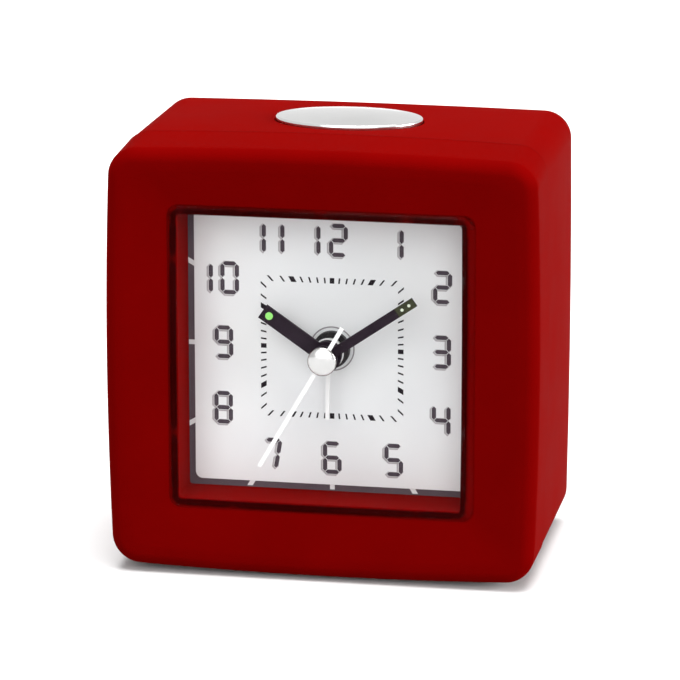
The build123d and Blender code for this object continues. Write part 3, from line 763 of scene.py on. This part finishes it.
share = np.concatenate([across, across[::-1]])
soft_edges = np.clip(share / OUTER_FADE, 0, 1) * np.clip((1 - share) / INNER_FADE, 0, 1)
line_rise = np.clip((share - RIGHT_LINE_START) / RIGHT_LINE_FADE, RIGHT_LINE_LEAST, 1)
inner_line = line_rise * np.clip((1 - share) / RIGHT_LINE_END, 0, 1)
# painted shade by side: darkest on the left and below, fainter on top, a thin line on the right
sides = soft_edges * (at_left_or_foot + UPPER_SHARE * at_top) + inner_line * at_right
# lighter breaks at the hours: painted reflections of the white hour marks
clock_angle = np.arctan2(sheets[..., 0] - BREAK_MIDDLE[0], sheets[..., 2] - BREAK_MIDDLE[1])
from_hour = np.abs((clock_angle / HOUR_TURN + 0.5) % 1 - 0.5) * HOUR_TURN * BAND_OUTER[0]
break_depth = BREAK_DEPTH * (1 - RIGHT_BREAK_LOSS * at_right)
darkness = sides * (1 - break_depth * np.exp(-((from_hour / BREAK_HALF) ** 2)))
store(band, "darkness", darkness)
print("rim darkness from", darkness.min().round(2), "to", darkness.max().round(2))

# %% [markdown]
# Materials share two effects, each a node group. Moulded grain gives plastics their fine
# tooled skin and the faint unevenness of colour that pigment has. Fine lines give metals and
# plated pieces the trace of polishing. Both work on Object coordinates, so they sit still on
# the piece in every view.


# %% Helpers for node trees
def feed(tree, source, socket):
    """Links a source to a socket, or sets the socket where the source is a plain value."""
    if isinstance(source, bpy.types.NodeSocket):
        tree.links.new(source, socket)
    else:
        socket.default_value = source


def new_group(name, inputs, outputs):
    """An empty shader group with named number inputs (name, default) and number outputs."""
    group = bpy.data.node_groups.new(name, "ShaderNodeTree")
    for label, default in inputs:
        socket = group.interface.new_socket(label, in_out="INPUT", socket_type="NodeSocketFloat")
        socket.default_value = default
    for label in outputs:
        group.interface.new_socket(label, in_out="OUTPUT", socket_type="NodeSocketFloat")
    start = group.nodes.new("NodeGroupInput")
    end = group.nodes.new("NodeGroupOutput")
    print("group:", name)
    return group, start, end


def object_place(tree):
    """The Object coordinates of the piece that wears the material."""
    return tree.nodes.new("ShaderNodeTexCoord").outputs["Object"]


def noise(tree, place, scale, detail, roughness=0.5):
    """A cloudy mask at a place; the scale is a number or a group's input."""
    node = tree.nodes.new("ShaderNodeTexNoise")
    node.inputs["Detail"].default_value = detail
    node.inputs["Roughness"].default_value = roughness
    feed(tree, place, node.inputs["Vector"])
    feed(tree, scale, node.inputs["Scale"])
    return node.outputs["Fac"]


# %% Shared effects as node groups
GRAIN_SCALES = (4000, 60)
LINE_SCALES = (2500, 90)
LINE_STRETCH = (0.03, 1.0, 1.0)

inputs = zip(("Grain Scale", "Mottle Scale"), GRAIN_SCALES)
grain_group, start, end = new_group("moulded_grain", inputs, ["Height", "Mottle"])
place = object_place(grain_group)
fine = noise(grain_group, place, start.outputs["Grain Scale"], detail=3)
broad = noise(grain_group, place, start.outputs["Mottle Scale"], detail=4, roughness=0.6)
feed(grain_group, fine, end.inputs["Height"])
feed(grain_group, broad, end.inputs["Mottle"])

inputs = zip(("Line Scale", "Cloud Scale"), LINE_SCALES)
lines_group, start, end = new_group("fine_lines", inputs, ["Height", "Streak"])
place = object_place(lines_group)
stretch = lines_group.nodes.new("ShaderNodeMapping")
stretch.inputs["Scale"].default_value = LINE_STRETCH
feed(lines_group, place, stretch.inputs["Vector"])
lines = noise(lines_group, stretch.outputs["Vector"], start.outputs["Line Scale"], detail=2)
clouds = noise(lines_group, place, start.outputs["Cloud Scale"], detail=3)
feed(lines_group, lines, end.inputs["Height"])
feed(lines_group, clouds, end.inputs["Streak"])

# %% [markdown]
# One function makes every finish from its own numbers: two colours that the mottle mixes,
# a range of roughness, and how deep the grain is. Values that are the same all over a piece
# go straight onto the shader's sockets.


# %% Colours and masks
def seen(red, green, blue):
    """A colour as an eye reads it on a screen, 0 to 255, turned into Blender's linear light.

    Dark shares are divided by a constant, and the others are raised to a power, as the
    screen's own curve does.
    """
    share = np.array([red, green, blue]) / 255
    linear = np.where(share <= 0.04045, share / 12.92, ((share + 0.055) / 1.055) ** 2.4)
    return (*linear.tolist(), 1.0)


def map_range(tree, source, low, high, narrow=(0.3, 0.7)):
    """Stretches a mask from the narrow range that noise fills to low and high."""
    node = tree.nodes.new("ShaderNodeMapRange")
    node.inputs["From Min"].default_value = narrow[0]
    node.inputs["From Max"].default_value = narrow[1]
    node.inputs["To Min"].default_value = low
    node.inputs["To Max"].default_value = high
    feed(tree, source, node.inputs["Value"])
    return node.outputs["Result"]


def blend_colours(tree, mask, first, second):
    """A colour that goes from first to second as the mask goes from nought to one."""
    node = tree.nodes.new("ShaderNodeMix")
    node.data_type = "RGBA"
    feed(tree, mask, node.inputs["Factor"])
    feed(tree, first, node.inputs["A"])
    feed(tree, second, node.inputs["B"])
    return node.outputs["Result"]


print("middle grey on a screen is", round(seen(128, 128, 128)[0], 3), "of white in linear light")

# %% The maker of finishes
GRAIN_BUMP = (0.00002, 0.15)


def finish(
    name, first, second, roughness, group=grain_group, scales=GRAIN_SCALES, bump=GRAIN_BUMP, **plain
):
    """A Principled material of two mottled colours.

    The mottle also varies the roughness, the grain is a bump of a distance and a strength,
    and the plain values go onto the shader's sockets.
    """
    material = bpy.data.materials.new(name)
    material.use_nodes = True
    tree = material.node_tree
    shader = tree.nodes["Principled BSDF"]
    effect = tree.nodes.new("ShaderNodeGroup")
    effect.node_tree = group
    for socket, value in zip(effect.inputs, scales):
        socket.default_value = value
    height, mottle = effect.outputs
    mask = map_range(tree, mottle, 0, 1)
    feed(tree, blend_colours(tree, mask, first, second), shader.inputs["Base Color"])
    feed(tree, map_range(tree, mottle, *roughness), shader.inputs["Roughness"])
    relief = tree.nodes.new("ShaderNodeBump")
    for label, value in zip(("Distance", "Strength"), bump):
        relief.inputs[label].default_value = value
    feed(tree, height, relief.inputs["Height"])
    feed(tree, relief.outputs["Normal"], shader.inputs["Normal"])
    for label, value in plain.items():
        shader.inputs[label.replace("_", " ")].default_value = value
    print(f"finish {name}: roughness {roughness[0]} to {roughness[1]}")
    return material


# %% [markdown]
# The finishes of the record's material slots. A gloss or a grain that several of them share
# has a name: soft-touch plastic has almost no shine but a faint sheen at grazing angles,
# printing and hand paint are matt, and metals carry the fine lines.

# %% Gloss and grain that finishes share
SATIN = {"Specular_IOR_Level": 0.25}
MATT = {"Specular_IOR_Level": 0.08}
SOFT_TOUCH = {
    "Specular_IOR_Level": 0.001,
    "Sheen_Weight": 0.13,
    "Sheen_Roughness": 0.45,
    "Sheen_Tint": (1.0, 0.03, 0.02, 1),
}
CARD = {"scales": (2500, 40), **MATT}
HAND_PAINT = {"scales": (3000, 200), **MATT}
LUME_GRAIN = (9000, 900)
LUME = {"scales": LUME_GRAIN, "bump": (0.00002, 0.4), **MATT}
RUBBER = {"scales": (2500, 150), "bump": (0.00002, 0.3), **SATIN}
POLISHED = {"group": lines_group, "Metallic": 1.0}
PLATING_BUMP = (0.000004, 0.06)
PLATING = {"scales": (1800, 70), "bump": PLATING_BUMP, **POLISHED}
STEEL = {"scales": (2500, 90), "bump": (0.00001, 0.15), **POLISHED}
WINDING = {"scales": (6000, 300), "bump": (0.00003, 0.4), **POLISHED}
print("grain of paint:", HAND_PAINT["scales"], "of luminous paint:", LUME_GRAIN)

# %% Finishes of the material slots
RED_DEEP = (0.132, 0.0003, 0.0003, 1)
RED_BRIGHT = (0.147, 0.0004, 0.0004, 1)

finishes = {
    "red_shell": finish("red_moulded", RED_DEEP, RED_BRIGHT, (0.5, 0.6), **SOFT_TOUCH),
    "dial_white": finish("dial_card", seen(243, 246, 248), seen(247, 250, 250), (0.55, 0.7), **CARD),
    "dial_grey": finish("grey_border", seen(92, 80, 88), seen(104, 92, 99), (0.5, 0.6), **MATT),
    "black_plastic": finish("black_moulded", seen(24, 21, 23), seen(33, 30, 32), (0.38, 0.5), **SATIN),
    "hand_black": finish("black_hand_paint", seen(30, 20, 30), seen(40, 29, 39), (0.4, 0.5), **HAND_PAINT),
    "hand_white": finish(
        "white_hand_paint", seen(250, 250, 250), seen(254, 254, 254), (0.4, 0.5), **HAND_PAINT
    ),
    "lume_green": finish("green_lume", seen(140, 226, 108), seen(170, 240, 140), (0.6, 0.75), **LUME),
    "lume_olive": finish("olive_lume", seen(50, 52, 36), seen(64, 66, 48), (0.6, 0.75), **LUME),
    "foot_rubber": finish("foot_rubber", seen(24, 24, 24), seen(36, 35, 34), (0.7, 0.85), **RUBBER),
    "movement_white": finish(
        "white_acetal", seen(226, 226, 220), seen(236, 236, 231), (0.35, 0.5), **SATIN
    ),
    "board_green": finish(
        "board_lacquer", seen(18, 84, 40), seen(30, 104, 54), (0.25, 0.4), scales=(1500, 250)
    ),
    "cell_jacket": finish(
        "cell_sleeve", seen(44, 44, 50), seen(56, 56, 62), (0.25, 0.35), scales=(1500, 90)
    ),
    "wire_jacket": finish(
        "wire_sleeve", seen(30, 30, 32), seen(42, 42, 44), (0.4, 0.55), scales=(3000, 300), **SATIN
    ),
    "silver_button": finish(
        "silver_plating", (0.60, 0.60, 0.595, 1), (0.66, 0.66, 0.655, 1), (0.12, 0.2), **PLATING
    ),
    "steel": finish("bright_steel", (0.50, 0.50, 0.52, 1), (0.62, 0.62, 0.63, 1), (0.22, 0.38), **STEEL),
    "copper": finish("enamelled_wire", seen(176, 98, 46), seen(206, 128, 70), (0.25, 0.4), **WINDING),
}
print("finishes for slots:", len(finishes))

# %% [markdown]
# The lens is nearly invisible: a clear sheet with a trace of smudge. Most of it is let
# through with Alpha, so the light reaches the dial without the noise of real refraction.

# %% Clear lens
LENS_FILM = {"scales": (60, 35), "bump": (0.00001, 0.02)}
LENS_TINTS = ((0.02, 0.021, 0.021, 1), (0.03, 0.032, 0.032, 1))
SMUDGE_SCALE = 45
SMUDGE_DETAIL = 3
SMUDGE_ALPHA = (0.01, 0.025)


def see_through(material, alpha):
    """Lets a mask decide how much of a material covers what lies behind it."""
    tree = material.node_tree
    feed(tree, alpha, tree.nodes["Principled BSDF"].inputs["Alpha"])


lens_clear = finish("lens_clear", *LENS_TINTS, (0.03, 0.08), **LENS_FILM)
tree = lens_clear.node_tree
smudge = noise(tree, object_place(tree), SMUDGE_SCALE, SMUDGE_DETAIL)
see_through(lens_clear, map_range(tree, smudge, *SMUDGE_ALPHA))
finishes["clear_lens"] = lens_clear
print("lens lets through all but", SMUDGE_ALPHA)

# %% [markdown]
# The frame and the rim read the numbers stored on their meshes. On the frame they mix a dark
# red over the plastic as painted shade in the seam and in the lip's groove. On the rim they say
# how much of the dark layer of painted shade covers the frame behind it.

# %% Painted shade on the frame and the rim
# the colour of the painted shade in the seam and the lip's groove
SHADE_RED = seen(34, 0, 0)
RIM_MOST = 0.95


def stored(tree, label):
    """The number that a mesh keeps for each point under a label."""
    node = tree.nodes.new("ShaderNodeAttribute")
    node.attribute_name = label
    return node.outputs["Fac"]


def colour_over(material, mask, colour):
    """Mixes a colour over a material's own, as far as the mask says."""
    tree = material.node_tree
    base_colour = tree.nodes["Principled BSDF"].inputs["Base Color"]
    own_colour = base_colour.links[0].from_socket
    feed(tree, blend_colours(tree, mask, own_colour, colour), base_colour)


red_frame_painted_shade = finish("red_frame_painted_shade", RED_DEEP, RED_BRIGHT, (0.5, 0.6), **SOFT_TOUCH)
colour_over(red_frame_painted_shade, stored(red_frame_painted_shade.node_tree, "shade"), SHADE_RED)
# painted shade: a dark red sheet whose cover follows the rim's stored darkness
rim_painted_shade = finish("rim_shade", seen(40, 0, 0), seen(50, 0, 0), (0.5, 0.6), Specular_IOR_Level=0.0)
tree = rim_painted_shade.node_tree
see_through(rim_painted_shade, map_range(tree, stored(tree, "darkness"), 0, RIM_MOST, (0, 1)))

# %% [markdown]
# A few pieces have a finish of their own: the inks, the polished cap and the pale dots.
# Every other piece, a CAD node or a new one, wears the finish of its material slot.

# %% Give every piece its finish
INK_GLOSS = (0.5, 0.6)
INK_FILM = {"scales": (6000, 500), **MATT}
CAP_PLATING = {"scales": (1800, 120), "bump": PLATING_BUMP, **POLISHED}

own_finish = {
    "front_frame": red_frame_painted_shade,
    "window_rim": rim_painted_shade,
    "number_ink": finish("number_ink", seen(72, 64, 72), seen(84, 76, 84), INK_GLOSS, **INK_FILM),
    "number_shade": finish("number_edge", seen(182, 180, 183), seen(194, 192, 195), INK_GLOSS, **INK_FILM),
    "minute_track": finish("track_ink", seen(28, 22, 28), seen(40, 34, 40), INK_GLOSS, **INK_FILM),
    "dial_circle": finish("circle_ink", seen(150, 147, 150), seen(162, 159, 162), INK_GLOSS, **INK_FILM),
    "second_dome": finish(
        "polished_cap", (0.52, 0.52, 0.515, 1), (0.58, 0.58, 0.575, 1), (0.14, 0.22), **CAP_PLATING
    ),
    "minute_dots": finish(
        "pale_lume", seen(214, 222, 204), seen(226, 233, 216), (0.6, 0.75), scales=LUME_GRAIN, **MATT
    ),
}
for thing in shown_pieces():
    slot = thing.get("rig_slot") or slot_of[thing["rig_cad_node"]]
    thing.data.materials.clear()
    thing.data.materials.append(own_finish.get(thing.name, finishes[slot]))

# %% [markdown]
# The studio: a wide pale floor, a soft even sky, and three broad soft lights like those of a
# product shot, from above, from the right and from beside the camera. Suns with a wide angle
# act as soft boxes far away, so the floor is lit evenly to the horizon. The background is
# white because the floor and the world look paler to the camera, to reflections and through
# clear pieces than they are as a source of light.

# %% Floor
FLOOR_HALF = 6.0
FLOOR_GREYS = ((0.32, 0.32, 0.32, 1), (0.34, 0.34, 0.34, 1))
FLOOR_SHOWN = (0.8, 0.8, 0.8, 1)


def shown_rays(tree):
    """One for rays from the camera, from a reflection or through a clear piece, else nought."""
    path = tree.nodes.new("ShaderNodeLightPath")
    shown = path.outputs["Is Camera Ray"]
    for label in ("Is Glossy Ray", "Is Transmission Ray"):
        larger = tree.nodes.new("ShaderNodeMath")
        larger.operation = "MAXIMUM"
        feed(tree, shown, larger.inputs[0])
        feed(tree, path.outputs[label], larger.inputs[1])
        shown = larger.outputs[0]
    return shown


corners = FLOOR_HALF * np.array([(-1, -1, 0), (1, -1, 0), (1, 1, 0), (-1, 1, 0)])
mesh = bpy.data.meshes.new("table_top")
mesh.from_pydata(corners.tolist(), [], [(0, 1, 2, 3)])
floor = bpy.data.objects.new("table_top", mesh)
bpy.context.scene.collection.objects.link(floor)
floor_paint = finish("pale_floor", *FLOOR_GREYS, (0.8, 0.9), scales=(40, 3), **MATT)
mesh.materials.append(floor_paint)
colour_over(floor_paint, shown_rays(floor_paint.node_tree), FLOOR_SHOWN)
print("floor:", 2 * FLOOR_HALF, "metres wide")

# %% Sky
SKY_LEVEL = 0.35
WHITE = (1, 1, 1, 1)

world = bpy.data.worlds.new("studio")
bpy.context.scene.world = world
world.use_nodes = True
tree = world.node_tree
tree.nodes.clear()
choice = tree.nodes.new("ShaderNodeMixShader")
feed(tree, shown_rays(tree), choice.inputs["Fac"])
for slot, strength in ((1, SKY_LEVEL), (2, 1.0)):
    sky = tree.nodes.new("ShaderNodeBackground")
    sky.inputs["Color"].default_value = WHITE
    sky.inputs["Strength"].default_value = strength
    feed(tree, sky.outputs["Background"], choice.inputs[slot])
result = tree.nodes.new("ShaderNodeOutputWorld")
feed(tree, choice.outputs["Shader"], result.inputs["Surface"])
print("sky:", SKY_LEVEL, "of white as a light")

# %% Lights
LIGHTS = {
    "top_light": (1.35, (0.05, -0.05, 1.0), 45),
    "right_light": (1.2, (1.0, -0.08, 0.2), 45),
    "front_light": (0.55, (0.0, -1.0, 0.35), 60),
}


def soft_light(name, level, direction, spread):
    """A sun that lights a surface facing it at level times the surface's colour."""
    lamp = bpy.data.lights.new(name, "SUN")
    lamp.energy = level * np.pi
    lamp.angle = np.radians(spread)
    thing = bpy.data.objects.new(name, lamp)
    thing.rotation_euler = Vector(direction).to_track_quat("Z", "Y").to_euler()
    bpy.context.scene.collection.objects.link(thing)


for name, (level, direction, spread) in LIGHTS.items():
    soft_light(name, level, direction, spread)
print("lights:", list(LIGHTS))

# %% [markdown]
# The camera stands where the photographer's did: a little to the right, a little above, and
# far away with a long lens, which is why the clock's sides hardly converge. It looks just
# past the dial's middle, because the clock isn't quite in the middle of the picture.

# %% Camera
AZIMUTH = np.radians(10.82)
ELEVATION = np.radians(14.32)
DISTANCE = 0.9
AIM_RIGHT = 0.00164
AIM_UP = 0.00178
SENSOR_WIDTH = 36
FOCAL_LENGTH = 230.9

level_way = np.array([np.sin(AZIMUTH), -np.cos(AZIMUTH), 0]) * np.cos(ELEVATION)
toward = Vector(level_way + [0, 0, np.sin(ELEVATION)])
right_way = Vector((np.cos(AZIMUTH), np.sin(AZIMUTH), 0))
up_way = toward.cross(right_way)
target = Vector(dial_middle) + AIM_RIGHT * right_way + AIM_UP * up_way
optics = bpy.data.cameras.new("camera")
optics.sensor_width = SENSOR_WIDTH
optics.lens = FOCAL_LENGTH
camera = bpy.data.objects.new("camera", optics)
camera.location = Vector(dial_middle) + DISTANCE * toward
camera.rotation_euler = (camera.location - target).to_track_quat("Z", "Y").to_euler()
bpy.context.scene.collection.objects.link(camera)
bpy.context.scene.camera = camera
bpy.context.scene.view_settings.view_transform = "Standard"
print("camera at", camera.location)
